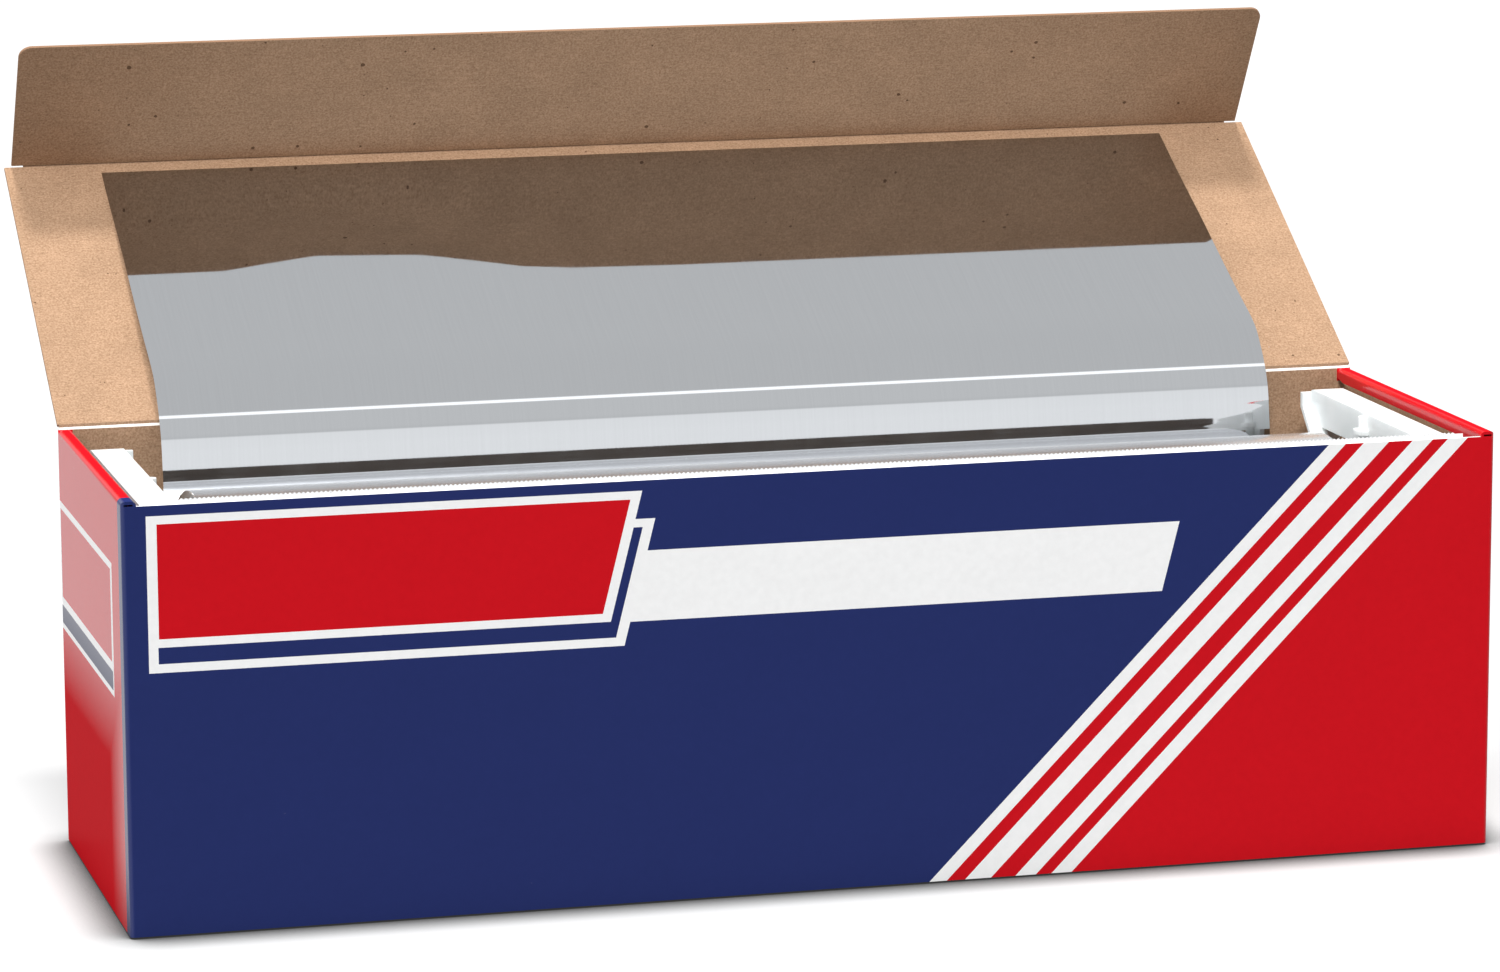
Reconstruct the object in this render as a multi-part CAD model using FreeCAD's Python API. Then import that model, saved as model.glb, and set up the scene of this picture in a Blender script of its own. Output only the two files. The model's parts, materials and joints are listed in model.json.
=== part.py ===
import FreeCAD, Part
import math
import os

# Cutter box with a roll of aluminium foil, lid open and a length of foil drawn up onto the lid.
# Millimetres. X runs along the box, the front faces -Y, Z is up.
# The origin is the middle of the bottom of the carton, where it meets the table.

# Board, the same for carton, lid and flap
board = 0.8
inner_corner_radius = 0.4

# Foil
foil_width = 304.8
roll_radius = 46.0
turn_groove = 0.6
turn_rings = 3
sheet_thickness = 0.15
sheet_gap = 0.3
sheet_top_gap = 4.6

# The sheet's rise behind the roll and over the back wall: distances outwards and above the rim
sheet_rise = (
    (-1.2, -33.0),
    (-1.8, -21.0),
    (-1.1, -11.5),
    (0.0, -5.7),
    (0.9, -1.6),
    (2.8, 2.4),
    (6.2, 7.1),
)

# The sheet's run along the lid: where it starts, how far it stands off there, how it comes down
sheet_start = 11.0
sheet_lift = 7.4
sheet_rest_gap = 0.05
sheet_curve = 1.15
sheet_steps = 6

# Rounding of the sheet's path: share of the shorter run that an arc takes, and the least turn in radians
sheet_arc_share = 0.45
straight_turn = 0.0001

# Core tube
core_radius = 19.05
core_wall = 1.55
core_overhang = 1.6

# Room round the roll inside the carton
roll_floor_gap = 7.8
roll_wall_gap = 6.4
mouth_gap = 8.6
front_drop = 1.3

# Rolled-over hem on top of each end wall
hem_thickness = 3.8
hem_drop = 5.2
hem_radius = 1.2
hem_slant = 14.0

# End flaps of the front and back panels, tucked up inside the hem
tuck_reach = 46.0
tuck_gap = 0.2

# Lid and closing flap, joined by creases of this half width
crease = 0.65
lid_clearance = 0.25
front_clearance = 1.3
lid_lean = 58.2
flap_fold = 91.0
flap_length = 41.8
flap_inset = 2.0
flap_corner_radius = 3.5

# Cutter strip and its teeth
cutter_left_gap = 6.5
cutter_right_gap = 8.5
cutter_thickness = 0.3
cutter_cover = 11.0
cutter_root = 0.95
tooth_height = 0.4
tooth_pitch = 1.117
teeth_left_gap = 8.1
teeth_right_gap = 1.1

# End holders
holder_stand = 9.2
holder_end_gap = 2.9
holder_side_gap = 9.4
holder_top_gap = 3.5
holder_wall = 1.4
holder_rim = 8.6
holder_corner_radius = 3.0
running_gap = 0.3
hub_length = 13.0
hub_wall = 1.6
shoulder_step = 2.95

# Guide ribs of the holders: points inwards from the plate's side and down from its top
rib_depth = 2.6
rib_width = 1.6
guide_top_drop = 0.9
guide_knee_drop = 4.6
guide_turn_inset = 8.6
guide_turn_drop = 12.0
guide_end_angle = 38.5

# Post above the hub and the windows beside it
post_radius = 1.6
post_collar_radius = 2.8
post_collar_drop = 4.8
window_drop = 9.2
window_height = 16.5
window_post_gap = 4.2
window_rib_gap = 3.5

# Derived sizes
axis_height = board + roll_floor_gap + roll_radius
carton_depth = 2 * (roll_radius + roll_wall_gap + board)
half_depth = carton_depth / 2
end_height = axis_height + roll_radius + mouth_gap
front_height = end_height - front_drop
corner_radius = inner_corner_radius + board
core_length = foil_width + 2 * core_overhang
holder_face = core_length / 2 + holder_stand
half_length = holder_face + holder_rim + holder_end_gap + hem_thickness
lid_reach = carton_depth + front_clearance
hinge_y = half_depth - board / 2
hinge_z = end_height + lid_clearance + board / 2
back_height = hinge_z - crease
cutter_start = -half_length + cutter_left_gap
cutter_end = half_length - cutter_right_gap
first_tooth = cutter_start + teeth_left_gap
last_tooth = cutter_end - teeth_right_gap
holder_top = end_height - holder_top_gap
holder_half_width = half_depth - board - holder_side_gap
hub_radius = core_radius - core_wall - running_gap
shoulder_radius = core_radius + shoulder_step


def box(x0, x1, y0, y1, z0, z1):
    """Box between two opposite corners."""
    corner = FreeCAD.Vector(x0, y0, z0)
    return Part.makeBox(x1 - x0, y1 - y0, z1 - z0, corner)


def rod(radius, x0, x1, y, z):
    """Cylinder along X."""
    start = FreeCAD.Vector(x0, y, z)
    return Part.makeCylinder(radius, x1 - x0, start, FreeCAD.Vector(1, 0, 0))


def prism_x(outline, x0, x1):
    """Prism along X from a closed outline of (y, z) points."""
    points = [FreeCAD.Vector(x0, y, z) for y, z in outline]
    wire = Part.makePolygon(points + [points[0]])
    return Part.Face(wire).extrude(FreeCAD.Vector(x1 - x0, 0, 0))


def fuse_all(shapes):
    """One solid from many, with the seams between them removed."""
    whole = shapes[0].multiFuse(shapes[1:])
    return whole.removeSplitter()


def upright_edges(shape):
    """Edges that run along Z."""
    return [edge for edge in shape.Edges if edge.BoundBox.XLength < 1e-6 and edge.BoundBox.YLength < 1e-6]


def mirror_x(shape):
    """The same piece at the other end of the box."""
    return shape.mirror(FreeCAD.Vector(0, 0, 0), FreeCAD.Vector(1, 0, 0))


def carton_shell():
    """Bottom and four single walls with rounded upright corners, before the hems."""
    outer = box(-half_length, half_length, -half_depth, half_depth, 0, back_height)
    outer = outer.makeFillet(corner_radius, upright_edges(outer))
    inner_x = half_length - board
    inner_y = half_depth - board
    inner = box(-inner_x, inner_x, -inner_y, inner_y, board, back_height + 1)
    inner = inner.makeFillet(inner_corner_radius, upright_edges(inner))
    shell = outer.cut(inner)
    wide = half_length + 1
    front_top = box(-wide, wide, -half_depth - 1, -inner_y, front_height, back_height + 1)
    ends_top = box(-wide, wide, -inner_y, inner_y, end_height - hem_radius, back_height + 1)
    return shell.cut(front_top).cut(ends_top)


def end_hem():
    """Board rolled over the top of the right end wall, its inner edge cut on a slant at both ends."""
    inner_x = half_length - hem_thickness
    low = end_height - hem_drop
    block = box(inner_x, half_length, -half_depth, half_depth, low, end_height)
    rounded = []
    for edge in block.Edges:
        bounds = edge.BoundBox
        on_top = bounds.ZLength < 1e-6 and bounds.ZMin > end_height - 1e-6
        along_y = bounds.YLength > 1
        outer_upright = bounds.ZLength > 1 and bounds.XMin > half_length - 1e-6
        if (on_top and along_y) or outer_upright:
            rounded.append(edge)
    block = block.makeFillet(hem_radius, rounded)
    past_side = half_depth + 1
    slot = box(inner_x + board, half_length - board, -past_side, past_side, low - 1, end_height - board)
    hem = block.cut(slot)
    inner_y = half_depth - board
    shallow = end_height - hem_drop / 2
    for side in (-1, 1):
        outline = [
            (side * (half_depth + 1), low - 1),
            (side * (half_depth + 1), shallow),
            (side * inner_y, shallow),
            (side * (inner_y - hem_slant), low),
            (side * (inner_y - hem_slant), low - 1),
        ]
        hem = hem.cut(prism_x(outline, inner_x - 1, inner_x + board + 0.01))
    front_notch = box(inner_x - 1, half_length + 1, -half_depth - 1, -inner_y, low - 1, front_height)
    return hem.cut(front_notch)


def tuck_flaps():
    """End flaps of the front and back panels, lying against the right end wall under the hem."""
    outer_x = half_length - board - tuck_gap
    top = end_height - board - tuck_gap
    flaps = []
    for side in (-1, 1):
        edge = side * (half_depth - board / 2)
        reach = side * (half_depth - board / 2 - tuck_reach)
        wall_top = front_height if side < 0 else top
        low_y = min(edge, reach)
        high_y = max(edge, reach)
        flaps.append(box(outer_x - board, outer_x, low_y, high_y, board / 2, min(top, wall_top)))
    return flaps


def carton():
    """Folded board carton without its lid."""
    hem = end_hem()
    pieces = [carton_shell(), hem, mirror_x(hem)]
    for flap in tuck_flaps():
        pieces.append(flap)
        pieces.append(mirror_x(flap))
    return fuse_all(pieces)


def lid_frame(shape):
    """Move a shape drawn upright from the hinge, outside face towards +Y, into the open position."""
    shape.rotate(FreeCAD.Vector(0, 0, 0), FreeCAD.Vector(1, 0, 0), -lid_lean)
    shape.translate(FreeCAD.Vector(0, hinge_y, hinge_z))
    return shape


def lid():
    """Lid panel from crease to crease."""
    half_board = board / 2
    panel = box(-half_length, half_length, -half_board, half_board, crease, lid_reach - crease)
    return lid_frame(panel)


def closing_flap():
    """Flap along the far edge of the lid that closes outside the front panel."""
    half_board = board / 2
    half_width = half_length - flap_inset
    panel = box(-half_width, half_width, -half_board, half_board, crease, flap_length)
    corners = []
    for edge in panel.Edges:
        bounds = edge.BoundBox
        at_free_edge = bounds.ZMin > flap_length - 1e-6
        if at_free_edge and bounds.XLength < 1e-6:
            corners.append(edge)
    panel = panel.makeFillet(flap_corner_radius, corners)
    panel.rotate(FreeCAD.Vector(0, 0, 0), FreeCAD.Vector(1, 0, 0), flap_fold)
    panel.translate(FreeCAD.Vector(0, 0, lid_reach))
    return lid_frame(panel)


def cutter_strip():
    """Thin strip behind the top of the front panel with a row of small teeth."""
    root = front_height + cutter_root
    low = front_height - cutter_cover
    teeth = int((last_tooth - first_tooth) / tooth_pitch)
    outline = [(cutter_start, low), (cutter_end, low), (cutter_end, root)]
    for number in range(teeth, 0, -1):
        right = first_tooth + number * tooth_pitch
        outline.append((right, root))
        outline.append((right - tooth_pitch / 2, root + tooth_height))
    outline.append((first_tooth, root))
    outline.append((cutter_start, root))
    y = -half_depth + board
    points = [FreeCAD.Vector(px, y, pz) for px, pz in outline]
    wire = Part.makePolygon(points + [points[0]])
    return Part.Face(wire).extrude(FreeCAD.Vector(0, cutter_thickness, 0))


def foil_roll():
    """Wound foil, with shallow grooves in both ends where the turns stand apart."""
    half_width = foil_width / 2
    step = (roll_radius - core_radius) / (turn_rings + 1)
    profile = [(0, core_radius)]
    for ring in range(1, turn_rings + 1):
        radius = core_radius + ring * step
        profile.extend([(0, radius - turn_groove), (turn_groove, radius), (0, radius + turn_groove)])
    profile.append((0, roll_radius))
    left = [(-half_width + depth, radius) for depth, radius in profile]
    right = [(half_width - depth, radius) for depth, radius in reversed(profile)]
    points = [FreeCAD.Vector(x, 0, axis_height + radius) for x, radius in left + right]
    wire = Part.makePolygon(points + [points[0]])
    axis_point = FreeCAD.Vector(0, 0, axis_height)
    return Part.Face(wire).revolve(axis_point, FreeCAD.Vector(1, 0, 0), 360)


def core_tube():
    """Board tube that the foil is wound on."""
    half_core = core_length / 2
    outer = rod(core_radius, -half_core, half_core, 0, axis_height)
    inner = rod(core_radius - core_wall, -half_core - 1, half_core + 1, 0, axis_height)
    return outer.cut(inner)


def lid_point(along, lift):
    """Point (y, z) at a distance along the open lid and lifted off its middle plane."""
    lean = math.radians(lid_lean)
    y = hinge_y + along * math.sin(lean) - lift * math.cos(lean)
    z = hinge_z + along * math.cos(lean) + lift * math.sin(lean)
    return y, z


def sheet_path():
    """Points (y, z) from the back of the roll up past the rim and onto the lid."""
    rise_y = roll_radius + sheet_gap + sheet_thickness / 2
    path = [(rise_y, axis_height)]
    for outwards, above in sheet_rise:
        path.append((rise_y + outwards, end_height + above))
    run = lid_reach - sheet_top_gap - sheet_start
    resting = board / 2 + sheet_thickness / 2 + sheet_rest_gap
    for step in range(sheet_steps + 1):
        share = step / sheet_steps
        lift = resting + (sheet_lift - resting) * (1 - share) ** sheet_curve
        path.append(lid_point(sheet_start + run * share, lift))
    return path


def sheet_side(path, shift):
    """Edges along a line of (y, z) points, moved sideways by a shift, with a tangent arc at each corner."""
    along_x = FreeCAD.Vector(1, 0, 0)
    points = [FreeCAD.Vector(-foil_width / 2, y, z) for y, z in path]
    first_way = (points[1] - points[0]).normalize()
    last_way = (points[-1] - points[-2]).normalize()
    start = points[0] + along_x.cross(first_way) * shift
    edges = []
    for before, corner, after in zip(points, points[1:], points[2:]):
        way_in = (corner - before).normalize()
        way_out = (after - corner).normalize()
        half_turn = way_in.getAngle(way_out) / 2
        if half_turn < straight_turn:
            continue
        reach = sheet_arc_share * min(before.distanceToPoint(corner), corner.distanceToPoint(after))
        radius = reach / math.tan(half_turn)
        inwards = (way_out - way_in).normalize()
        middle_way = (way_in + way_out).normalize()
        arc_start = corner - way_in * reach + along_x.cross(way_in) * shift
        cut_off = radius / math.cos(half_turn) - radius
        middle = corner + inwards * cut_off + along_x.cross(middle_way) * shift
        arc_end = corner + way_out * reach + along_x.cross(way_out) * shift
        edges.append(Part.makeLine(start, arc_start))
        edges.append(Part.Arc(arc_start, middle, arc_end).toShape())
        start = arc_end
    edges.append(Part.makeLine(start, points[-1] + along_x.cross(last_way) * shift))
    return edges


def foil_sheet():
    """Length of foil drawn off the back of the roll and laid on the lid."""
    path = sheet_path()
    upper = sheet_side(path, sheet_thickness / 2)
    lower = sheet_side(path, -sheet_thickness / 2)
    start_line = Part.makeLine(lower[0].firstVertex(True).Point, upper[0].firstVertex(True).Point)
    end_line = Part.makeLine(upper[-1].lastVertex(True).Point, lower[-1].lastVertex(True).Point)
    outline = [start_line] + upper + [end_line] + list(reversed(lower))
    wire = Part.Wire(Part.__sortEdges__(outline))
    return Part.Face(wire).extrude(FreeCAD.Vector(foil_width, 0, 0))


def rounded_panel(x0, x1, inset):
    """Slab across X with the holder's rounded outline, drawn in by an inset."""
    half_width = holder_half_width - inset
    slab = box(x0, x1, -half_width, half_width, board + inset, holder_top - inset)
    along_x = [e for e in slab.Edges if e.BoundBox.YLength < 1e-6 and e.BoundBox.ZLength < 1e-6]
    return slab.makeFillet(holder_corner_radius - inset, along_x)


def rib(points, x0, x1):
    """Upright strip along X that follows a line of (y, z) points."""
    pieces = []
    for (y0, z0), (y1, z1) in zip(points, points[1:]):
        size = math.hypot(y1 - y0, z1 - z0)
        ny = -(z1 - z0) / size * rib_width / 2
        nz = (y1 - y0) / size * rib_width / 2
        outline = [(y0 + ny, z0 + nz), (y1 + ny, z1 + nz), (y1 - ny, z1 - nz), (y0 - ny, z0 - nz)]
        pieces.append(prism_x(outline, x0, x1))
        pieces.append(rod(rib_width / 2, x0, x1, y1, z1))
    return pieces


def guide_line():
    """Points (y, z) of the +Y guide rib, from the plate's top corner down to the hub."""
    side_y = holder_half_width - rib_width / 2
    turn = math.radians(guide_end_angle)
    return [
        (side_y, holder_top - guide_top_drop),
        (side_y, holder_top - guide_knee_drop),
        (holder_half_width - guide_turn_inset, holder_top - guide_turn_drop),
        (hub_radius * math.cos(turn), axis_height + hub_radius * math.sin(turn)),
    ]


def window_outline():
    """Points (y, z) of the opening between the post and the +Y guide rib."""
    turn, end = guide_line()[2:]
    slope = (turn[0] - end[0]) / (turn[1] - end[1])
    top = holder_top - window_drop
    low = top - window_height
    inner_y = post_radius + window_post_gap
    top_y = turn[0] + (top - turn[1]) * slope - window_rib_gap
    low_y = turn[0] + (low - turn[1]) * slope - window_rib_gap
    return [(inner_y, top), (top_y, top), (low_y, low), (inner_y, low)]


def tray():
    """Plate with a rim round it and a window on each side of the post."""
    web_back = holder_face + holder_wall
    rim_end = holder_face + holder_rim
    plate = rounded_panel(holder_face, rim_end, 0)
    plate = plate.cut(rounded_panel(web_back, rim_end + 1, holder_wall))
    for side in (-1, 1):
        outline = [(side * y, z) for y, z in window_outline()]
        plate = plate.cut(prism_x(outline, holder_face - 1, web_back + 1))
    return plate


def post():
    """Upright post on the plate's inner face, from the hub to the top, with a collar."""
    up = FreeCAD.Vector(0, 0, 1)
    post_x = holder_face - post_radius / 4
    height = holder_top - holder_wall / 2 - axis_height
    shaft = Part.makeCylinder(post_radius, height, FreeCAD.Vector(post_x, 0, axis_height), up)
    collar_z = holder_top - holder_wall / 2 - post_collar_drop
    collar = Part.makeCylinder(post_collar_radius, holder_wall, FreeCAD.Vector(post_x, 0, collar_z), up)
    reach = 2 * post_collar_radius
    web_middle = holder_face + holder_wall / 2
    behind = box(web_middle, web_middle + reach, -reach, reach, axis_height, holder_top)
    return [shaft, collar.cut(behind)]


def end_holder():
    """Moulded plate at the right end with a rim, guide ribs, a post and a hub for the core."""
    web_back = holder_face + holder_wall
    pieces = [tray()] + post()
    for side in (-1, 1):
        line = [(side * y, z) for y, z in guide_line()]
        pieces.extend(rib(line, holder_face - rib_depth, holder_face + holder_wall / 2))
    core_end = core_length / 2 + running_gap
    hub_start = core_end - hub_length
    pieces.append(rod(hub_radius, hub_start, web_back, 0, axis_height))
    pieces.append(rod(shoulder_radius, core_end, core_end + holder_wall, 0, axis_height))
    hollow = rod(hub_radius - hub_wall, hub_start + hub_wall, holder_face + holder_rim, 0, axis_height)
    return fuse_all(pieces).cut(hollow)


def main():
    os.makedirs("parts", exist_ok=True)
    right_holder = end_holder()
    pieces = {
        "carton": carton(),
        "lid": lid(),
        "closing_flap": closing_flap(),
        "cutter_strip": cutter_strip(),
        "foil_roll": foil_roll(),
        "foil_sheet": foil_sheet(),
        "core_tube": core_tube(),
        "right_end_holder": right_holder,
        "left_end_holder": mirror_x(right_holder),
    }
    for name, shape in pieces.items():
        if len(shape.Solids) == 1:
            shape = shape.Solids[0]
        shape.exportStep("parts/" + name + ".step")
        print(name, shape.isValid(), len(shape.Solids), round(shape.Volume, 1), shape.BoundBox)


main()
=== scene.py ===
import bpy
import json
import math
from mathutils import Matrix, Vector

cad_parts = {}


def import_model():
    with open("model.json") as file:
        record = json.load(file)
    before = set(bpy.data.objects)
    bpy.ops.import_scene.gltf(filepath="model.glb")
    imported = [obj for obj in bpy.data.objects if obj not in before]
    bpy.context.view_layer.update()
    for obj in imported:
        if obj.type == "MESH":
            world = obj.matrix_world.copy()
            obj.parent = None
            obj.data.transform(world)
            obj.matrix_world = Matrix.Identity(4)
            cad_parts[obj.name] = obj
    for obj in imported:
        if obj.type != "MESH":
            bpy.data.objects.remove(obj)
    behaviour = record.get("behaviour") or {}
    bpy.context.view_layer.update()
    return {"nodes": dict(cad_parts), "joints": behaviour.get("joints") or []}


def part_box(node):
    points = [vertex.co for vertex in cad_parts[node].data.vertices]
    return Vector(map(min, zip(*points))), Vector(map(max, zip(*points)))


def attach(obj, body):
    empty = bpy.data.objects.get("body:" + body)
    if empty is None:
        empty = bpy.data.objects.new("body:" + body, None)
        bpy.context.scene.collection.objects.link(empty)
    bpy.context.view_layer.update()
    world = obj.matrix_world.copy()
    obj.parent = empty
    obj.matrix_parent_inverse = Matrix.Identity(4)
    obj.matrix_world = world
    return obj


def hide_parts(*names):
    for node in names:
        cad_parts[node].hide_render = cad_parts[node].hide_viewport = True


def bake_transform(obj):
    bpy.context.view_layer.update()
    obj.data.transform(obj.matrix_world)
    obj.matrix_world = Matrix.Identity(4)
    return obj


# Looks for the foil roll in its cutter box. Sizes are in millimetres unless a name says otherwise.

MM = 0.001

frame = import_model()
nodes = frame["nodes"]
joint_place = {joint["name"]: Vector(joint["pos_m"]) / MM for joint in frame["joints"]}


def high_corner(node):
    """Corner of a node's box that lies furthest along all three axes."""
    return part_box(node)[1] / MM


# Places read from the frame
HALF_LENGTH, HALF_DEPTH, RIM = high_corner("carton")
HALF_FOIL, ROLL_RADIUS = high_corner("foil_roll").xy
HINGE = joint_place["lid_hinge"]
FOLD = joint_place["flap_crease"]
AXIS = joint_place["roll_spin"]

# Lid and flap: the way they run from crease to free edge, and the way their inner faces look
FOLD_ANGLE = 91
LID_LENGTH = (FOLD - HINGE).length
LID_ALONG = (FOLD - HINGE).normalized()
LID_INWARD = Vector((0, -LID_ALONG.z, LID_ALONG.y))
FLAP_ALONG = Matrix.Rotation(math.radians(FOLD_ANGLE), 3, "X") @ LID_ALONG
FLAP_INWARD = Vector((0, -FLAP_ALONG.z, FLAP_ALONG.y))

# Board: its thickness, half the gap that a crease leaves, and the carton's outer corner radius
BOARD = 0.8
CREASE = 0.65
CORNER = 1.2

# Hem along the top of each end wall: its thickness, and how far down its inner side the print shows
HEM = 3.8
HEM_PRINT = 3.5

# How far the front's and back's print wraps round onto the ends
WRAP = 5.6


def srgb(red, green, blue):
    """Linear colour from 0-255 display values."""
    linear = []
    for value in (red, green, blue):
        share = value / 255
        linear.append(share / 12.92 if share <= 0.04045 else ((share + 0.055) / 1.055) ** 2.4)
    return (*linear, 1)


# Print colours
BLUE = srgb(40, 50, 102)
RED = srgb(204, 23, 33)
WHITE = srgb(247, 247, 247)
END_BAR = srgb(52, 58, 92)

# Board colours
KRAFT = srgb(188, 155, 127)
KRAFT_DARK = srgb(145, 115, 90)
FLECK = srgb(74, 48, 33)
CUT_EDGE = srgb(150, 118, 94)
CREASE_WHITE = srgb(240, 236, 230)
LINED_EDGE = srgb(240, 240, 240)

# Metal colours
FOIL = srgb(197, 199, 202)
FOIL_WOUND = srgb(226, 228, 231)
STEEL = srgb(244, 245, 246)
# Dark brown of the steel strip's back: painted shade, which the drawn foil mirrors as a dark band.
STEEL_BACK_SHADE = srgb(84, 74, 66)

# Plastic colours
MILK = srgb(236, 242, 242)
MILK_PALE = srgb(246, 250, 250)

# Stripes on the front: how far they lean to the right for each millimetre up, and their edges at the
# carton's bottom
STRIPE_LEAN = 0.988
WHITE_STRIPES = (26.5, 64.5)
RED_STRIPES = ((31.1, 36.0), (42.9, 49.4), (54.9, 59.1))

# Label and banner on the front, laid on in this order: colour, whether the left edge slants as the right one
# does, left edge, right edge, bottom, top. A slanted edge is given where it would meet the carton's bottom.
LABEL_LEAN = 0.255
FRONT_LABEL = (
    (WHITE, False, -172.4, -69.8, 66.2, 98.2),
    (WHITE, False, -172.4, -74.9, 66.2, 105.3),
    (WHITE, True, -70.0, 69.9, 72.2, 90.1),
    (BLUE, False, -170.0, -72.5, 68.4, 72.5),
    (BLUE, True, -74.85, -72.5, 68.4, 96.1),
    (RED, False, -169.8, -77.4, 74.6, 103.2),
)

# Label on the left end, laid on in this order: colour, front edge, back edge, bottom, top
END_LABEL = (
    (WHITE, -36.0, 53.0, 57.0, 90.8),
    (RED, -33.4, 51.0, 65.4, 88.9),
    (END_BAR, -34.6, 51.9, 58.4, 63.2),
)


def feed(tree, slot, value):
    """Link a field or a socket to a slot, or write a plain value there."""
    if isinstance(value, Field):
        tree.links.new(value.socket, slot)
    elif isinstance(value, bpy.types.NodeSocket):
        tree.links.new(value, slot)
    else:
        slot.default_value = value


class Field:
    """A number at each point of a surface, worked out by Math nodes."""

    def __init__(self, tree, socket):
        self.tree = tree
        self.socket = socket

    def math(self, operation, *others):
        node = self.tree.nodes.new("ShaderNodeMath")
        node.operation = operation
        for slot, value in zip(node.inputs, (self, *others)):
            feed(self.tree, slot, value)
        return Field(self.tree, node.outputs[0])

    def __add__(self, other):
        return self.math("ADD", other)

    def __sub__(self, other):
        return self.math("SUBTRACT", other)

    def __mul__(self, other):
        return self.math("MULTIPLY", other)

    def __neg__(self):
        return self.math("MULTIPLY", -1)

    def abs(self):
        return self.math("ABSOLUTE")

    def above(self, level):
        return self.math("GREATER_THAN", level)

    def below(self, level):
        return self.math("LESS_THAN", level)

    def between(self, low, high):
        return self.above(low) * self.below(high)

    def either(self, other):
        return self.math("MAXIMUM", other)

    def inverse(self):
        return -self + 1

    def ramp(self, low, high, out_low=0.0, out_high=1.0):
        """The field carried from one range of numbers to another, and held at its ends."""
        node = self.tree.nodes.new("ShaderNodeMapRange")
        self.tree.links.new(self.socket, node.inputs["Value"])
        for name, value in (("From Min", low), ("From Max", high), ("To Min", out_low), ("To Max", out_high)):
            node.inputs[name].default_value = value
        return Field(self.tree, node.outputs["Result"])


class Paint:
    """A procedural material: places in millimetres, noises, layers of colour, one Principled shader."""

    def __init__(self, name):
        self.material = bpy.data.materials.new(name)
        self.material.use_nodes = True
        self.tree = self.material.node_tree
        self.tree.nodes.clear()
        output = self.tree.nodes.new("ShaderNodeOutputMaterial")
        self.shader = self.tree.nodes.new("ShaderNodeBsdfPrincipled")
        self.tree.links.new(self.shader.outputs[0], output.inputs["Surface"])
        coordinates = self.tree.nodes.new("ShaderNodeTexCoord")
        scale = self.tree.nodes.new("ShaderNodeVectorMath")
        scale.operation = "SCALE"
        scale.inputs["Scale"].default_value = 1 / MM
        self.tree.links.new(coordinates.outputs["Object"], scale.inputs[0])
        self.place = scale.outputs[0]
        self.x, self.y, self.z = self.split(self.place)
        self.nx, self.ny, self.nz = self.split(coordinates.outputs["Normal"])

    def split(self, vector):
        node = self.tree.nodes.new("ShaderNodeSeparateXYZ")
        self.tree.links.new(vector, node.inputs[0])
        return [Field(self.tree, socket) for socket in node.outputs]

    def join(self, x, y, z):
        node = self.tree.nodes.new("ShaderNodeCombineXYZ")
        for slot, value in zip(node.inputs, (x, y, z)):
            feed(self.tree, slot, value)
        return node.outputs[0]

    def stretched(self, scale, place=None):
        node = self.tree.nodes.new("ShaderNodeVectorMath")
        node.operation = "MULTIPLY"
        self.tree.links.new(place or self.place, node.inputs[0])
        node.inputs[1].default_value = scale
        return node.outputs[0]

    def noise(self, size, detail=2.0, rough=0.5, stretch=(1, 1, 1), place=None):
        """Noise from 0 to 1 whose features are about size millimetres across."""
        node = self.tree.nodes.new("ShaderNodeTexNoise")
        scale = [value / size for value in stretch]
        self.tree.links.new(self.stretched(scale, place), node.inputs["Vector"])
        node.inputs["Scale"].default_value = 1
        node.inputs["Detail"].default_value = detail
        node.inputs["Roughness"].default_value = rough
        return Field(self.tree, node.outputs[0])

    def cells(self, size):
        """Distance to the nearest of scattered points about size millimetres apart, as a share of size."""
        node = self.tree.nodes.new("ShaderNodeTexVoronoi")
        self.tree.links.new(self.stretched([1 / size] * 3), node.inputs["Vector"])
        node.inputs["Scale"].default_value = 1
        return Field(self.tree, node.outputs["Distance"])

    def mix(self, share, first, second):
        node = self.tree.nodes.new("ShaderNodeMix")
        node.data_type = "RGBA"
        for slot, value in ((node.inputs[0], share), (node.inputs[6], first), (node.inputs[7], second)):
            feed(self.tree, slot, value)
        return node.outputs[2]

    def shade(self, colour, amount):
        """Colour made darker or lighter by a field near 1."""
        node = self.tree.nodes.new("ShaderNodeVectorMath")
        node.operation = "SCALE"
        feed(self.tree, node.inputs[0], colour if isinstance(colour, bpy.types.NodeSocket) else colour[:3])
        feed(self.tree, node.inputs["Scale"], amount)
        return node.outputs[0]

    def set(self, **values):
        """Inputs of the shader: base_color=..., roughness=... as a number, colour, field or socket."""
        for name, value in values.items():
            feed(self.tree, self.shader.inputs[name.replace("_", " ").title().replace("Ior", "IOR")], value)

    def bump(self, height, distance_mm):
        node = self.tree.nodes.new("ShaderNodeBump")
        self.tree.links.new(height.socket, node.inputs["Height"])
        node.inputs["Distance"].default_value = distance_mm * MM
        node.inputs["Strength"].default_value = 1
        self.tree.links.new(node.outputs[0], self.shader.inputs["Normal"])


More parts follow.
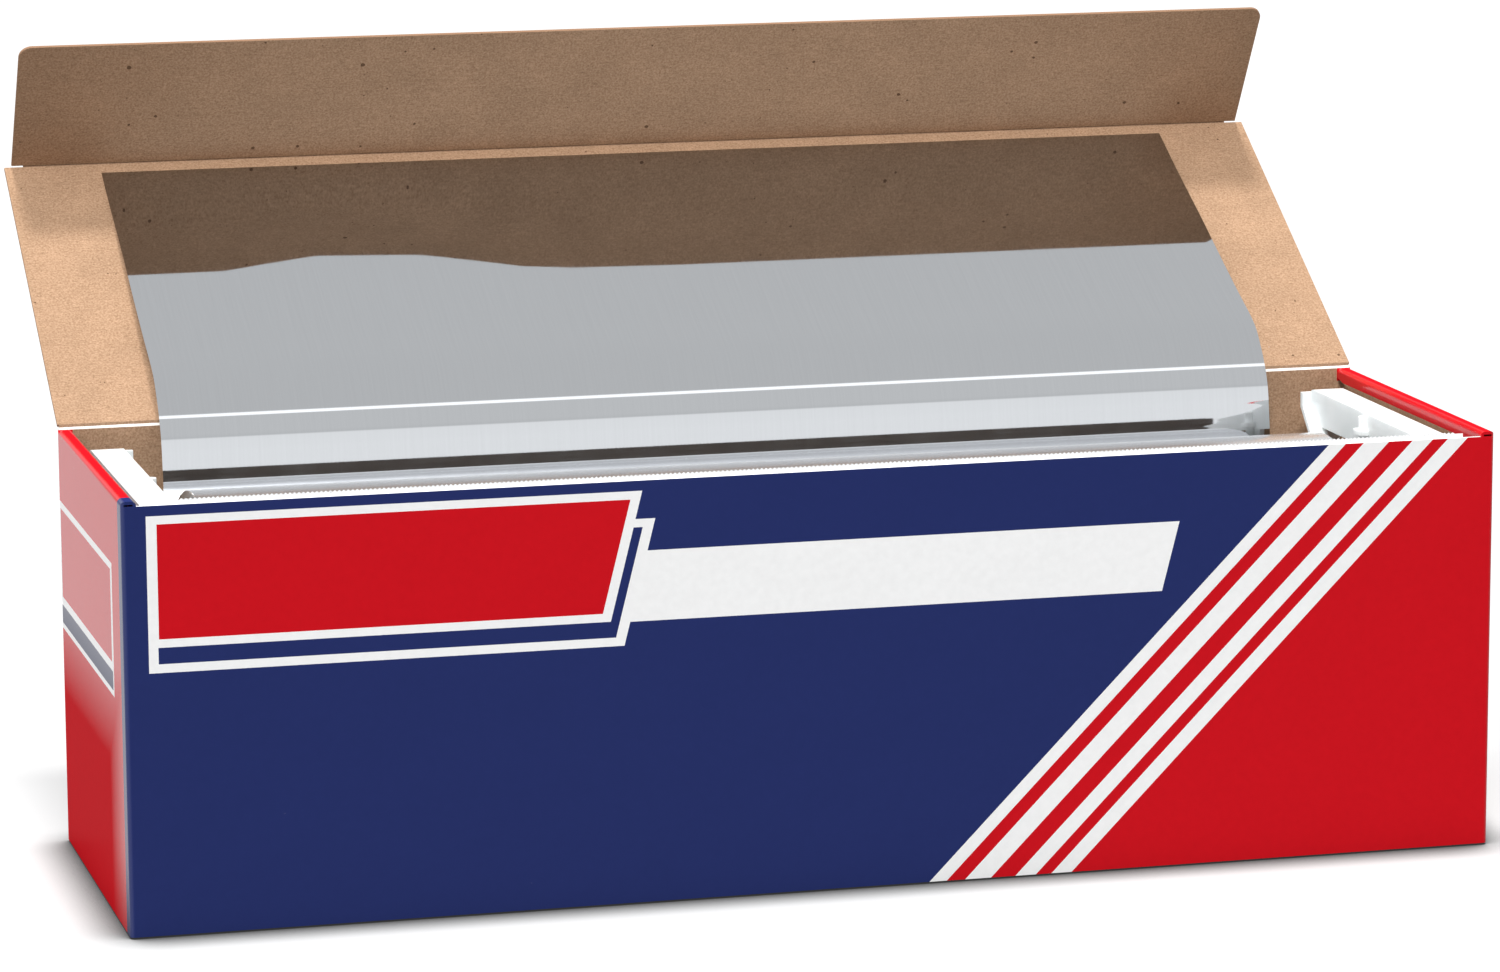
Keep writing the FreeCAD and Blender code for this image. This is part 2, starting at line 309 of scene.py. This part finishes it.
def chipboard(paint):
    """Unprinted grey-brown board: colour and bump height."""
    grain = paint.noise(0.55, detail=3, rough=0.65)
    blotch = paint.noise(14, detail=3)
    fibre = paint.noise(0.5, detail=1, stretch=(0.16, 1, 1))
    colour = paint.mix(grain.ramp(0.3, 0.72), KRAFT_DARK, KRAFT)
    colour = paint.shade(colour, blotch.ramp(0.3, 0.7, 0.94, 1.05))
    colour = paint.shade(colour, fibre.ramp(0.3, 0.7, 0.95, 1.05))
    flecks = paint.cells(4.6).below(paint.noise(6).ramp(0.5, 0.75, 0.03, 0.17))
    specks = paint.cells(1.5).below(paint.noise(3).ramp(0.5, 0.8, 0.02, 0.2))
    light_flecks = paint.cells(7.3).below(paint.noise(5).ramp(0.6, 0.8, 0.0, 0.08))
    colour = paint.mix(flecks * 0.75, colour, FLECK)
    colour = paint.mix(specks * 0.5, colour, FLECK)
    colour = paint.mix(light_flecks * 0.6, colour, WHITE)
    return colour, grain * 0.6 + fibre * 0.4


def stripes(paint, x, z):
    """Blue field, slanted red and white stripes and a red field: colour at a place on the front."""
    slant = x - z * STRIPE_LEAN
    colour = paint.mix(slant.above(WHITE_STRIPES[1]), BLUE, RED)
    colour = paint.mix(slant.between(*WHITE_STRIPES), colour, WHITE)
    for left, right in RED_STRIPES:
        colour = paint.mix(slant.between(left, right), colour, RED)
    return colour


def front_art(paint, x, z):
    """Stripes, the red label with its outlines and bar, and the white banner, all left bare."""
    lean = x - z * LABEL_LEAN
    colour = stripes(paint, x, z)
    for ink, slanted, left, right, low, high in FRONT_LABEL:
        inside = (lean if slanted else x).above(left) * z.between(low, high) * lean.below(right)
        colour = paint.mix(inside, colour, ink)
    return colour


def end_art(paint, y, z):
    """Red end panel with a white label outline and a dark bar."""
    colour = RED
    for ink, front, back, low, high in END_LABEL:
        colour = paint.mix(y.between(front, back) * z.between(low, high), colour, ink)
    return colour


# Printed face: how rough it is and its thin gloss coat
INK_ROUGHNESS = 0.5
COAT_ROUGHNESS = 0.1
PANEL_GLOSS = 0.4
BUMP_DEPTH = 0.05


def worn_ink(paint, ink):
    """Ink with a faint mottle and rubbed spots."""
    mottle = paint.noise(2.2, detail=4, rough=0.6)
    ink = paint.shade(ink, mottle.ramp(0.3, 0.7, 0.975, 1.02))
    rub = paint.noise(9, detail=5, rough=0.7).above(0.74)
    return paint.mix(rub * 0.05, ink, WHITE)


def ink_ripple(paint):
    """Bump height of a printed face."""
    return paint.noise(26, detail=1) * 6 + paint.noise(0.9, detail=2) * 0.12


def printed_finish(paint, printed, glossy, ink, board_colour, board_height):
    """Join print and bare board into one finish, with a thin gloss coat where glossy is above 0."""
    paint.set(
        base_color=paint.mix(printed, board_colour, worn_ink(paint, ink)),
        roughness=printed.ramp(0, 1, 0.85, INK_ROUGHNESS),
        coat_weight=glossy,
        coat_roughness=COAT_ROUGHNESS,
        specular_ior_level=0.0,
    )
    paint.bump(ink_ripple(paint) * printed + board_height * printed.inverse() * 0.35, BUMP_DEPTH)


def carton_material():
    """Printed outside, brown inside, raw along the cut edges."""
    paint = Paint("carton_board")
    bare, height = chipboard(paint)
    x_out = paint.x.abs()
    y_out = paint.y.abs()
    beyond_x = (x_out - (HALF_LENGTH - CORNER)).math("MAXIMUM", 0)
    beyond_y = (y_out - (HALF_DEPTH - CORNER)).math("MAXIMUM", 0)
    out = (beyond_x * beyond_x + beyond_y * beyond_y).math("SQRT")
    outer = out.above(CORNER - BOARD * 0.5).either(paint.z.below(BOARD * 0.4))
    hem = x_out.above(HALF_LENGTH - HEM - 0.1)
    outer = outer.either(hem * paint.z.above(RIM - HEM_PRINT))

    # Cut edges: the tops of the front and back walls, and the lower edges of the hems' inner sides
    wall_top = paint.nz.above(0.7) * x_out.below(HALF_LENGTH - HEM)
    hem_low = paint.nz.below(-0.5) * paint.z.above(10)
    board = paint.mix(hem_low, bare, CUT_EDGE)
    board = paint.mix(wall_top * paint.y.below(0), board, LINED_EDGE)
    printed = outer * wall_top.either(hem_low).inverse()

    # The back carries the front's print and the right end the left end's, each turned round
    ink = front_art(paint, -(paint.x * paint.y.math("SIGN")), paint.z)
    end = end_art(paint, paint.y * -(paint.x.math("SIGN")), paint.z)
    on_end = y_out.below(HALF_DEPTH - WRAP).either(paint.y.above(0) * paint.ny.below(0.7))
    ink = paint.mix(on_end, ink, end)
    ink = paint.mix(paint.nz.below(-0.7) * paint.z.below(1), ink, BLUE)

    # The ends' coat is heavy in the upper half and towards the front, and thin below
    heavy = paint.z.ramp(40, 66).either(paint.y.ramp(-26, -50))
    glossy = printed * paint.nx.abs().ramp(0.1, 0.6) * heavy.ramp(0, 1, 0.03, 0.6)
    printed_finish(paint, printed, glossy, ink, board, height)
    return paint.material


def panel_material(name, origin, along, inward, print_height):
    """Lid or flap: print on the outer face, bare board inside and on the cut edges.
    The print goes down the stripes from print_height as it runs along the panel."""
    paint = Paint(name)
    bare, height = chipboard(paint)
    run = paint.y * along.y + paint.z * along.z - origin.dot(along)
    off = paint.y * inward.y + paint.z * inward.z - origin.dot(inward)
    facing = paint.ny * inward.y + paint.nz * inward.z
    ink = stripes(paint, paint.x, -run + print_height)
    outer = facing.below(-0.6) * off.below(0)
    board = paint.mix(facing.abs().below(0.6), bare, CUT_EDGE)
    printed_finish(paint, outer, outer * PANEL_GLOSS, ink, board, height)
    return paint.material


def crease_inside(name, pale_low, pale_high):
    """Crushed board along a crease: pale between two heights, where the ply has broken, and elsewhere
    brown board darkened to 0.75 and 0.7 as painted shade of the crease."""
    paint = Paint(name)
    bare, height = chipboard(paint)
    fray = paint.noise(1.2, detail=4, rough=0.7, stretch=(0.4, 1, 1)) - 0.5
    pale = (paint.z + fray * 0.25).between(pale_low, pale_high)
    # Painted shade: the brown board is darkened to 0.75, and to 0.7 above the pale band.
    shaded_brown = paint.shade(bare, paint.z.ramp(pale_high, pale_high + 0.3, 0.75, 0.7))
    paint.set(base_color=paint.mix(pale, shaded_brown, CREASE_WHITE), roughness=0.8, specular_ior_level=0.1)
    paint.bump(height, 0.03)
    return paint.material


def crease_outside(name, print_height):
    """Printed side of a crease, at one height on the stripes."""
    paint = Paint(name)
    ink = worn_ink(paint, stripes(paint, paint.x, print_height))
    paint.set(
        base_color=ink,
        roughness=INK_ROUGHNESS,
        coat_weight=PANEL_GLOSS,
        coat_roughness=COAT_ROUGHNESS,
        specular_ior_level=0.0,
    )
    paint.bump(ink_ripple(paint), BUMP_DEPTH)
    return paint.material


def foil_material(name, colour, wound):
    """Bright rolled foil: faint lines along the rolling direction and a soft haze.
    Wound foil has its matt side out, and the edges of its turns show on the roll's ends."""
    paint = Paint(name)
    lines = paint.noise(0.6, detail=3, rough=0.7, stretch=(1, 0.02, 0.02))
    broad = paint.noise(18, detail=2, stretch=(1, 0.35, 0.35))
    haze = paint.noise(7, detail=4, rough=0.6)
    height = lines * 0.05 + broad * 0.5
    rough = haze.ramp(0.3, 0.75, 0.022, 0.04)
    if wound:
        up = paint.z - AXIS.z
        radius = (paint.y * paint.y + up * up).math("SQRT")
        on_end = paint.nx.abs().above(0.5)
        turns = paint.noise(0.4, detail=3, rough=0.8, place=paint.join(radius, 0, 0))
        height = height * on_end.inverse() + turns * on_end * 4
        rough = rough + 0.2
    tone = lines.ramp(0.3, 0.7, 0.97, 1.0)
    paint.set(base_color=paint.shade(colour, tone), metallic=0.9 if wound else 1.0, roughness=rough)
    paint.bump(height, 0.012)
    return paint.material


def plastic_material():
    """Milky moulded plastic with a faint flow pattern."""
    paint = Paint("milky_plastic")
    flow = paint.noise(11, detail=3, stretch=(1, 1, 0.4))
    grain = paint.noise(0.5, detail=2)
    paint.set(
        base_color=paint.mix(flow.ramp(0.3, 0.7), MILK, MILK_PALE),
        roughness=grain.ramp(0.3, 0.7, 0.32, 0.42),
        subsurface_weight=0.35,
        subsurface_radius=(1.0, 1.0, 1.0),
        subsurface_scale=2.5 * MM,
        transmission_weight=0.12,
        ior=1.49,
    )
    paint.bump(grain, 0.02)
    return paint.material


def steel_material():
    """Bright blanked strip with fine grinding lines, and a dull back painted dark brown as painted shade."""
    paint = Paint("cutter_steel")
    lines = paint.noise(0.25, detail=2, stretch=(0.03, 1, 1))
    tone = lines.ramp(0.3, 0.7, 0.93, 1.0)
    stain = paint.noise(12, detail=4).ramp(0.4, 0.8, 0.24, 0.38)
    back = paint.ny.above(0.5)
    # Painted shade: faces towards the back take the dark brown colour.
    colour = paint.shade(paint.mix(back, STEEL, STEEL_BACK_SHADE), tone)
    paint.set(base_color=colour, metallic=back.ramp(0, 1, 0.25, 0.0), roughness=stain + back * 0.4)
    paint.bump(lines, 0.01)
    return paint.material


def core_material():
    """Wound core board with its spiral seam."""
    lead = 62.0
    seam_share = 0.012
    paint = Paint("core_board")
    colour, height = chipboard(paint)
    angle = (paint.z - AXIS.z).math("ARCTAN2", paint.y)
    turn = (paint.x * (1 / lead) + angle * (0.5 / math.pi)).math("FRACT")
    seam = turn.between(0.0, seam_share)
    paint.set(base_color=paint.mix(seam * 0.7, colour, FLECK), roughness=0.85, specular_ior_level=0.15)
    paint.bump(height - seam * 2, 0.06)
    return paint.material


def mesh_object(name, points, faces, materials, smooth=True):
    """New piece from points in millimetres."""
    mesh = bpy.data.meshes.new(name)
    mesh.from_pydata([Vector(point) * MM for point in points], [], faces)
    mesh.validate()
    mesh.polygons.foreach_set("use_smooth", [smooth] * len(mesh.polygons))
    for material in materials:
        mesh.materials.append(material)
    piece = bpy.data.objects.new(name, mesh)
    bpy.context.scene.collection.objects.link(piece)
    return piece


def assign(node, material):
    """Give a carried node a material in place of its own."""
    mesh = nodes[node].data
    mesh.materials.clear()
    mesh.materials.append(material)


def weigh_normals(piece):
    """Keep a piece's flat faces looking flat beside its rounded edges."""
    normals = piece.modifiers.new("normals", "WEIGHTED_NORMAL")
    normals.keep_sharp = True


# Rounded edges: their width on board and on plastic, the angle from which an edge is rounded, and the
# distance in metres at which points count as one
BOARD_EDGE = 0.12
PLASTIC_EDGE = 0.22
EDGE_ANGLE = 40
WELD_M = 1e-6


def soften(node, width):
    """Round a node's edges a little with modifiers."""
    piece = nodes[node]
    weld = piece.modifiers.new("weld", "WELD")
    weld.merge_threshold = WELD_M
    bevel = piece.modifiers.new("bevel", "BEVEL")
    bevel.width = width * MM
    bevel.segments = 2
    bevel.limit_method = "ANGLE"
    bevel.angle_limit = math.radians(EDGE_ANGLE)
    weigh_normals(piece)


def catmull(points, pieces):
    """Smooth line through 2-D points."""
    ends = [points[0] * 2 - points[1], *points, points[-1] * 2 - points[-2]]
    line = []
    for first, second, third, fourth in zip(ends, ends[1:], ends[2:], ends[3:]):
        for step in range(pieces):
            t = step / pieces
            line.append(0.5 * (second * 2 + (third - first) * t
                               + (first * 2 - second * 5 + third * 4 - fourth) * t ** 2
                               + (second * 3 - first - third * 3 + fourth) * t ** 3))
    line.append(points[-1])
    return line


# Foil sheet: it leaves the roll at its back, and SHEET_RISE is the line it follows past the carton's rim, as
# (outwards of where it starts, above the rim). What it mirrors depends on this line's slope. Edges sharper
# than SHEET_SHARP degrees show as sharp.
SHEET_OUT = 46.375
SHEET_SHARP = 50
SHEET_THICKNESS = 0.05
SHEET_RISE = (
    (-1.3, -34.0), (-1.75, -24.0), (-1.84, -18.0), (-1.84, -16.2), (-1.755, -14.7), (-1.528, -13.1),
    (-1.32, -11.7), (-1.1, -10.2), (-0.757, -8.0), (-0.33, -5.3), (0.6, -2.0), (2.8, 2.4), (6.2, 7.1),
)

# On the lid it sinks from SHEET_LIFT to SHEET_REST above the lid's plane, from SHEET_START to its cut edge,
# steepest at first where SHEET_SAG is above 1. It has so many spans there, and columns across.
SHEET_START = 11.0
SHEET_LIFT = 7.4
SHEET_REST = 0.525
SHEET_SAG = 1.15
SHEET_SPANS = 6
SHEET_END = LID_LENGTH - 4.6
SHEET_COLUMNS = 200
SHEET_PIECES = 8

# Two places near the lid's crease: below the rim, and this far along the lid and above it. foil_sheet works
# them out but does not use them.
BEND_BELOW = 4
BEND_RUN = 12
BEND_LIFT = 5

# Shallow swell in the sheet, which shapes what it mirrors: heights along the box as (x, height). Its middle
# lies SWELL_RUN along the lid, and SWELL_SHIFT further for each millimetre of height.
SWELL = (
    (-160, 0.76), (-126, 0.77), (-101, 1.25), (-72, 1.1), (-44, 0.49), (-30, 0.37), (0, 0.31), (160, 0.31),
)
SWELL_RUN = 57.7
SWELL_SHIFT = 11.3
SWELL_WIDTH = 16.0


def lid_point(run, lift):
    place = HINGE + LID_ALONG * run + LID_INWARD * lift
    return Vector((place.y, place.z))


def sheet_line():
    """Middle line of the foil from the back of the roll to its cut edge on the lid, as (y, z)."""
    points = [Vector((SHEET_OUT, AXIS.z))]
    points += [Vector((SHEET_OUT + outwards, RIM + above)) for outwards, above in SHEET_RISE]
    for step in range(SHEET_SPANS + 1):
        share = step / SHEET_SPANS
        lift = SHEET_REST + (SHEET_LIFT - SHEET_REST) * (1 - share) ** SHEET_SAG
        points.append(lid_point(SHEET_START + (SHEET_END - SHEET_START) * share, lift))
    return catmull(points, SHEET_PIECES)


def swell_lift(x, run):
    """Height of the swell at a place along the box and along the lid: a taller part stands further up."""
    height = SWELL[-1][1]
    for (x0, height0), (x1, height1) in zip(SWELL, SWELL[1:]):
        if x0 <= x <= x1:
            height = height0 + (height1 - height0) * (x - x0) / (x1 - x0)
    middle = SWELL_RUN + SWELL_SHIFT * height
    return height * math.exp(-((run - middle) / SWELL_WIDTH) ** 2)


def sheet_points(line, side):
    """Points of one side of the foil, row by row along its line."""
    points = []
    for row, place in enumerate(line):
        run = (place.x - HINGE.y) * LID_ALONG.y + (place.y - HINGE.z) * LID_ALONG.z
        along = (line[min(row + 1, len(line) - 1)] - line[max(row - 1, 0)]).normalized()
        out = Vector((-along.y, along.x)) * (side * SHEET_THICKNESS / 2)
        for column in range(SHEET_COLUMNS + 1):
            x = -HALF_FOIL + 2 * HALF_FOIL * column / SHEET_COLUMNS
            lift = swell_lift(x, run)
            points.append((x, place.x + LID_INWARD.y * lift + out.x, place.y + LID_INWARD.z * lift + out.y))
    return points


def foil_sheet():
    """Fine closed mesh of the drawn-off foil."""
    line = sheet_line()
    rows = len(line)
    width = SHEET_COLUMNS + 1
    count = rows * width
    points = sheet_points(line, -1) + sheet_points(line, 1)
    faces = []
    for row in range(rows - 1):
        for column in range(SHEET_COLUMNS):
            corner = row * width + column
            face = (corner, corner + 1, corner + width + 1, corner + width)
            faces.append(tuple(count + place for place in face))
            faces.append(face[::-1])
    rim = [row * width for row in range(rows)]
    rim += [count - width + column for column in range(1, width)]
    rim += [row * width + SHEET_COLUMNS for row in range(rows - 2, -1, -1)]
    rim += list(range(SHEET_COLUMNS - 1, 0, -1))
    for start, end in zip(rim, rim[1:] + rim[:1]):
        faces.append((start, end, count + end, count + start))
    piece = mesh_object("foil_length", points, faces, [foil_material("foil_drawn", FOIL, wound=False)])
    piece.data.set_sharp_from_angle(angle=math.radians(SHEET_SHARP))
    length = sum((after - before).length for before, after in zip(line, line[1:]))
    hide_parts("foil_sheet")
    start = Vector((0, SHEET_OUT, RIM - BEND_BELOW)) * MM
    end = (HINGE + LID_ALONG * BEND_RUN + LID_INWARD * BEND_LIFT) * MM
    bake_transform(piece)


# Wound foil: the core's radius, the grooves in its ends, its rounded edge, and how fine its mesh is
CORE_RADIUS = 19.05
GROOVES = 3
GROOVE = 0.6
ROLL_EDGE = 0.25
ROLL_SPANS = 48
ROLL_SEGMENTS = 192


def roll_outline():
    """Half section of the roll as (x, radius), from the core at one end round to the core at the other."""
    profile = [(-HALF_FOIL, CORE_RADIUS)]
    for groove in range(1, GROOVES + 1):
        radius = CORE_RADIUS + (ROLL_RADIUS - CORE_RADIUS) * groove / (GROOVES + 1)
        profile.append((-HALF_FOIL, radius - GROOVE))
        profile.append((-HALF_FOIL + GROOVE, radius))
        profile.append((-HALF_FOIL, radius + GROOVE))
    profile += [(-HALF_FOIL, ROLL_RADIUS - ROLL_EDGE), (-HALF_FOIL + ROLL_EDGE, ROLL_RADIUS)]
    side = [(-HALF_FOIL + 2 * HALF_FOIL * step / ROLL_SPANS, ROLL_RADIUS) for step in range(1, ROLL_SPANS)]
    return profile + side + [(-x, radius) for x, radius in reversed(profile)]


def foil_roll():
    """Fine mesh of the wound foil, with the turns' grooves in its ends."""
    outline = roll_outline()
    points = []
    for x, radius in outline:
        for segment in range(ROLL_SEGMENTS):
            angle = 2 * math.pi * segment / ROLL_SEGMENTS
            points.append((x, radius * math.cos(angle), AXIS.z + radius * math.sin(angle)))
    faces = []
    for ring in range(len(outline)):
        start = ring * ROLL_SEGMENTS
        after = (ring + 1) % len(outline) * ROLL_SEGMENTS
        for segment in range(ROLL_SEGMENTS):
            beside = (segment + 1) % ROLL_SEGMENTS
            faces.append((start + segment, start + beside, after + beside, after + segment))
    piece = mesh_object("foil_winding", points, faces, [foil_material("foil_wound", FOIL_WOUND, wound=True)])
    weigh_normals(piece)
    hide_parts("foil_roll")
    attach(piece, "roll")


# Creases: how far the bend's curve reaches straight on, how much it is pinched, and its number of facets
CREASE_REACH = 0.3
CREASE_PINCH = 0.18
CREASE_FACETS = 8


def crease_rows(start, start_along, end, end_along):
    """Inner and outer points of a crease's section, from one panel to the other."""
    reach = (end - start).length * CREASE_REACH
    first, second = start + start_along * reach, end - end_along * reach
    rows = []
    for step in range(CREASE_FACETS + 1):
        t = step / CREASE_FACETS
        centre = (start * (1 - t) ** 3 + first * 3 * t * (1 - t) ** 2
                  + second * 3 * t ** 2 * (1 - t) + end * t ** 3)
        along = start_along.lerp(end_along, t).normalized()
        across = Vector((0, -along.z, along.y)) * (BOARD / 2 - CREASE_PINCH * math.sin(math.pi * t))
        rows.append((centre + across, centre - across))
    return rows


def crease_strip(name, start, start_along, end, end_along, half_width, materials):
    """Bent strip of board between two panels, in the gap that their crease leaves."""
    rows = crease_rows(start, start_along, end, end_along)
    points = []
    for x in (-half_width, half_width):
        for inner, outer in rows:
            points.append((x, inner.y, inner.z))
            points.append((x, outer.y, outer.z))
    side = 2 * len(rows)
    faces = []
    for step in range(CREASE_FACETS):
        inner, outer = 2 * step, 2 * step + 1
        faces.append((inner, inner + 2, side + inner + 2, side + inner))
        faces.append((outer, side + outer, side + outer + 2, outer + 2))
        faces.append((inner, outer, outer + 2, inner + 2))
        faces.append((side + inner, side + inner + 2, side + outer + 2, side + outer))
    last = 2 * CREASE_FACETS
    faces.append((0, side, side + 1, 1))
    faces.append((last, last + 1, side + last + 1, side + last))
    piece = mesh_object(name, points, faces, materials, smooth=False)
    for step in range(CREASE_FACETS):
        piece.data.polygons[4 * step + 1].material_index = 1
    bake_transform(piece)


# Camera, at the photograph's viewing angle
CAMERA_LENS = 140.82
CAMERA_PLACE_M = (-0.388042, -1.446047, 0.371173)
CAMERA_TURN = (79.53299, 0.250487, -14.83382)
CAMERA_REACH_M = 60


def camera():
    data = bpy.data.cameras.new("camera")
    data.lens = CAMERA_LENS
    data.sensor_width = 36
    data.clip_end = CAMERA_REACH_M
    made = bpy.data.objects.new("camera", data)
    made.location = CAMERA_PLACE_M
    made.rotation_euler = [math.radians(angle) for angle in CAMERA_TURN]
    bpy.context.scene.collection.objects.link(made)
    bpy.context.scene.camera = made


def lamp(name, azimuth, elevation, width, level):
    """Broad distant light. Azimuth 0 comes from the front, elevation from above the table, all in degrees.
    A white surface that faces it renders at level."""
    data = bpy.data.lights.new(name, "SUN")
    data.energy = level * math.pi
    data.angle = math.radians(width)
    light = bpy.data.objects.new(name, data)
    turn, rise = math.radians(azimuth), math.radians(elevation)
    towards = Vector((math.sin(turn) * math.cos(rise), -math.cos(turn) * math.cos(rise), math.sin(rise)))
    light.rotation_euler = towards.to_track_quat("Z", "Y").to_euler()
    light.location = towards * 2
    bpy.context.scene.collection.objects.link(light)


# Light of the room, where 1 is white: what lights the object, and its faint coolness
ROOM_LIGHT = 0.36
ROOM_COLOUR = (0.985, 0.995, 1, 1)

# What metal mirrors of the room: level at each elevation in degrees, from the front over the top to the back
ROOM_MIRRORED = (
    (0, 1.3), (24, 1.25), (27, 0.84), (34, 0.88), (51.6, 0.88),
    (52.1, 1.9), (54.0, 1.9), (54.6, 0.79), (180, 0.79),
)


def world():
    """Room light: even for the object's own colours, brighter in front in what metal mirrors."""
    made = bpy.data.worlds.new("room")
    made.use_nodes = True
    tree = made.node_tree
    background = tree.nodes["Background"]
    direction = tree.nodes.new("ShaderNodeTexCoord")
    parts = tree.nodes.new("ShaderNodeSeparateXYZ")
    tree.links.new(direction.outputs["Generated"], parts.inputs[0])
    path = tree.nodes.new("ShaderNodeLightPath")
    mirrored = Field(tree, path.outputs["Is Glossy Ray"])
    rise = Field(tree, parts.outputs[2]).math("ARCTAN2", -Field(tree, parts.outputs[1])) * (180 / math.pi)
    seen = ROOM_MIRRORED[0][1] - ROOM_LIGHT
    for (start, before), (end, after) in zip(ROOM_MIRRORED, ROOM_MIRRORED[1:]):
        if before != after:
            seen = rise.ramp(start, end, 0, after - before) + seen
    level = mirrored * seen + ROOM_LIGHT
    feed(tree, background.inputs["Strength"], level)
    background.inputs["Color"].default_value = ROOM_COLOUR
    bpy.context.scene.world = made


# Floor: one wide triangle, its own grey in what it bounces back and as seen, and its glow
FLOOR_CORNERS_M = ((-60, -30, 0), (60, -30, 0), (0, 75, 0))
FLOOR_LEVEL_M = -0.0005
FLOOR_BOUNCE = 0.18
FLOOR_SEEN = 0.36
FLOOR_GLOW = 0.4

# Dark line where the box stands on the floor: its reach, the shares of open sky between which it fades out,
# and how dark it gets
CONTACT_SHADOW = 16
CONTACT_OPEN = (0.45, 0.95)
CONTACT_DARK = 0.08


def floor():
    """Wide white floor: it keeps the box's soft shadow, and is darker in what it bounces back."""
    mesh = bpy.data.meshes.new("floor")
    mesh.from_pydata(FLOOR_CORNERS_M, [], [(0, 1, 2)])
    material = bpy.data.materials.new("floor_white")
    material.use_nodes = True
    tree = material.node_tree
    tree.nodes.clear()
    output = tree.nodes.new("ShaderNodeOutputMaterial")
    path = tree.nodes.new("ShaderNodeLightPath")
    seen = Field(tree, path.outputs["Is Camera Ray"]).either(Field(tree, path.outputs["Is Glossy Ray"]))
    seen = seen.either(Field(tree, path.outputs["Is Transmission Ray"]))
    contact = tree.nodes.new("ShaderNodeAmbientOcclusion")
    contact.samples = 16
    contact.inputs["Distance"].default_value = CONTACT_SHADOW * MM
    open_share = Field(tree, contact.outputs["AO"]).ramp(*CONTACT_OPEN, CONTACT_DARK, 1)
    diffuse = tree.nodes.new("ShaderNodeBsdfDiffuse")
    feed(tree, diffuse.inputs["Color"], open_share * seen.ramp(0, 1, FLOOR_BOUNCE, FLOOR_SEEN))
    glow = tree.nodes.new("ShaderNodeEmission")
    feed(tree, glow.inputs["Strength"], open_share * seen * FLOOR_GLOW)
    both = tree.nodes.new("ShaderNodeAddShader")
    tree.links.new(diffuse.outputs[0], both.inputs[0])
    tree.links.new(glow.outputs[0], both.inputs[1])
    tree.links.new(both.outputs[0], output.inputs["Surface"])
    mesh.materials.append(material)
    plane = bpy.data.objects.new("floor", mesh)
    plane.location.z = FLOOR_LEVEL_M
    bpy.context.scene.collection.objects.link(plane)


# Stage
camera()
bpy.context.scene.view_settings.view_transform = "Standard"
lamp("front_light", azimuth=-22, elevation=50, width=14, level=0.9)
lamp("top_light", azimuth=180, elevation=87, width=9, level=0.8)
lamp("left_light", azimuth=-80, elevation=28, width=50, level=0.25)
world()
floor()

# Finishes of the carried nodes. The lid's print and the flap's carry on from the front panel's when shut.
LID_PRINT = RIM + LID_LENGTH
plastic = plastic_material()
assign("carton", carton_material())
assign("lid", panel_material("lid_board", HINGE, LID_ALONG, LID_INWARD, LID_PRINT))
assign("closing_flap", panel_material("flap_board", FOLD, FLAP_ALONG, FLAP_INWARD, RIM))
assign("cutter_strip", steel_material())
assign("core_tube", core_material())
for holder in ("right_end_holder", "left_end_holder"):
    assign(holder, plastic)
    soften(holder, PLASTIC_EDGE)
for panel in ("carton", "lid", "closing_flap"):
    soften(panel, BOARD_EDGE)

# Foil
foil_roll()
foil_sheet()

# Creases: the lid's stops short of the carton's corners, and the flap's short of its relief slits.
# The lid's is pale between two heights. The flap's is brown with painted shade all over, so its two
# heights lie far below it.
LID_CREASE_SHORT = 0.4
FLAP_CREASE_SHORT = 5.2
LID_CREASE_PALE = (RIM - 1, RIM + 0.62)
FLAP_CREASE_PALE = (0, 1)
crease_strip(
    "lid_crease", Vector((0, HINGE.y, RIM)), Vector((0, 0, 1)), HINGE + LID_ALONG * CREASE, LID_ALONG,
    HALF_LENGTH - LID_CREASE_SHORT,
    [crease_inside("lid_crease_board", *LID_CREASE_PALE), crease_outside("lid_crease_print", LID_PRINT)])
crease_strip(
    "flap_crease_strip", FOLD - LID_ALONG * CREASE, LID_ALONG, FOLD + FLAP_ALONG * CREASE, FLAP_ALONG,
    HALF_LENGTH - FLAP_CREASE_SHORT,
    [crease_inside("flap_crease_board", *FLAP_CREASE_PALE), crease_outside("flap_crease_print", RIM)])
